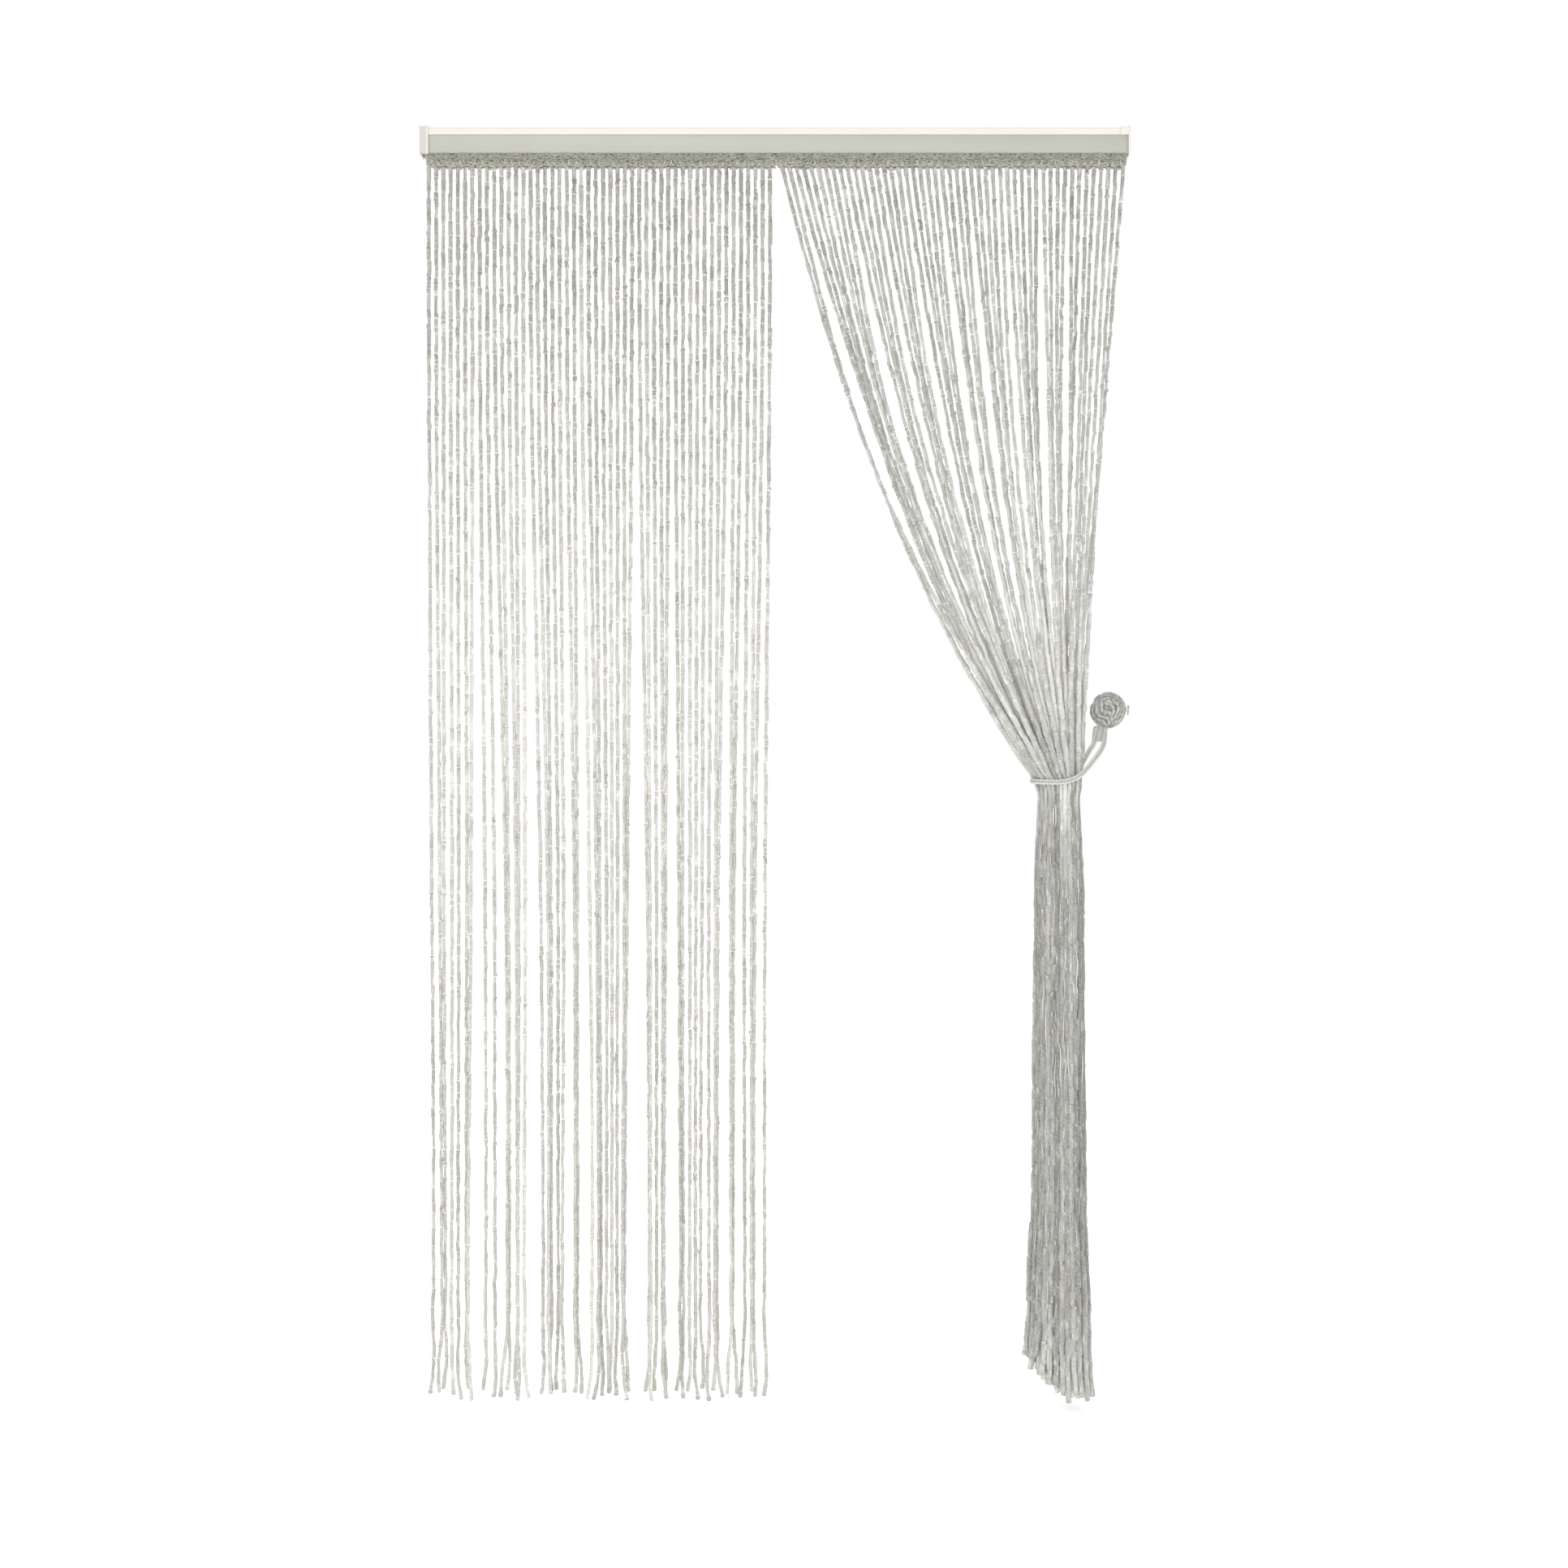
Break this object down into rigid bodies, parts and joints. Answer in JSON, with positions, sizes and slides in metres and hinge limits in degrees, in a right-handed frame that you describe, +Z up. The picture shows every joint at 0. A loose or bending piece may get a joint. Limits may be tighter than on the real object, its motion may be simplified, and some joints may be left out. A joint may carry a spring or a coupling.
{
  "type": "string fly screen curtain on a header rail with a tieback",
  "caption": "Doorway fly screen: two panels of knotted strands hang from crocheted headings in a white header rail, one of them drawn into a cord tieback with a wound ball.",
  "frame": {"origin": "middle of the header rail's flat top", "axes": "+X along the rail towards the tied panel, +Y back through the opening, +Z up"},
  "size_m": [1.17, 0.0671, 2.1015],
  "materials": {
    "rail": "satin white paint",
    "end_cap": "smooth moulded white",
    "strand": "glossy silver-grey synthetic yarn, slightly see-through",
    "tie": "crocheted silver-grey synthetic yarn",
    "hook": "plain bright metal"
  },
  "bodies": {
    "root": {"rail": "rail", "end_cap_left": "end_cap", "end_cap_right": "end_cap", "left_panel": "strand", "right_panel": "strand", "tie_cord": "tie", "tie_sleeve": "tie", "tie_ball": "tie", "tie_hook": "hook"}
  },
  "joints": []
}
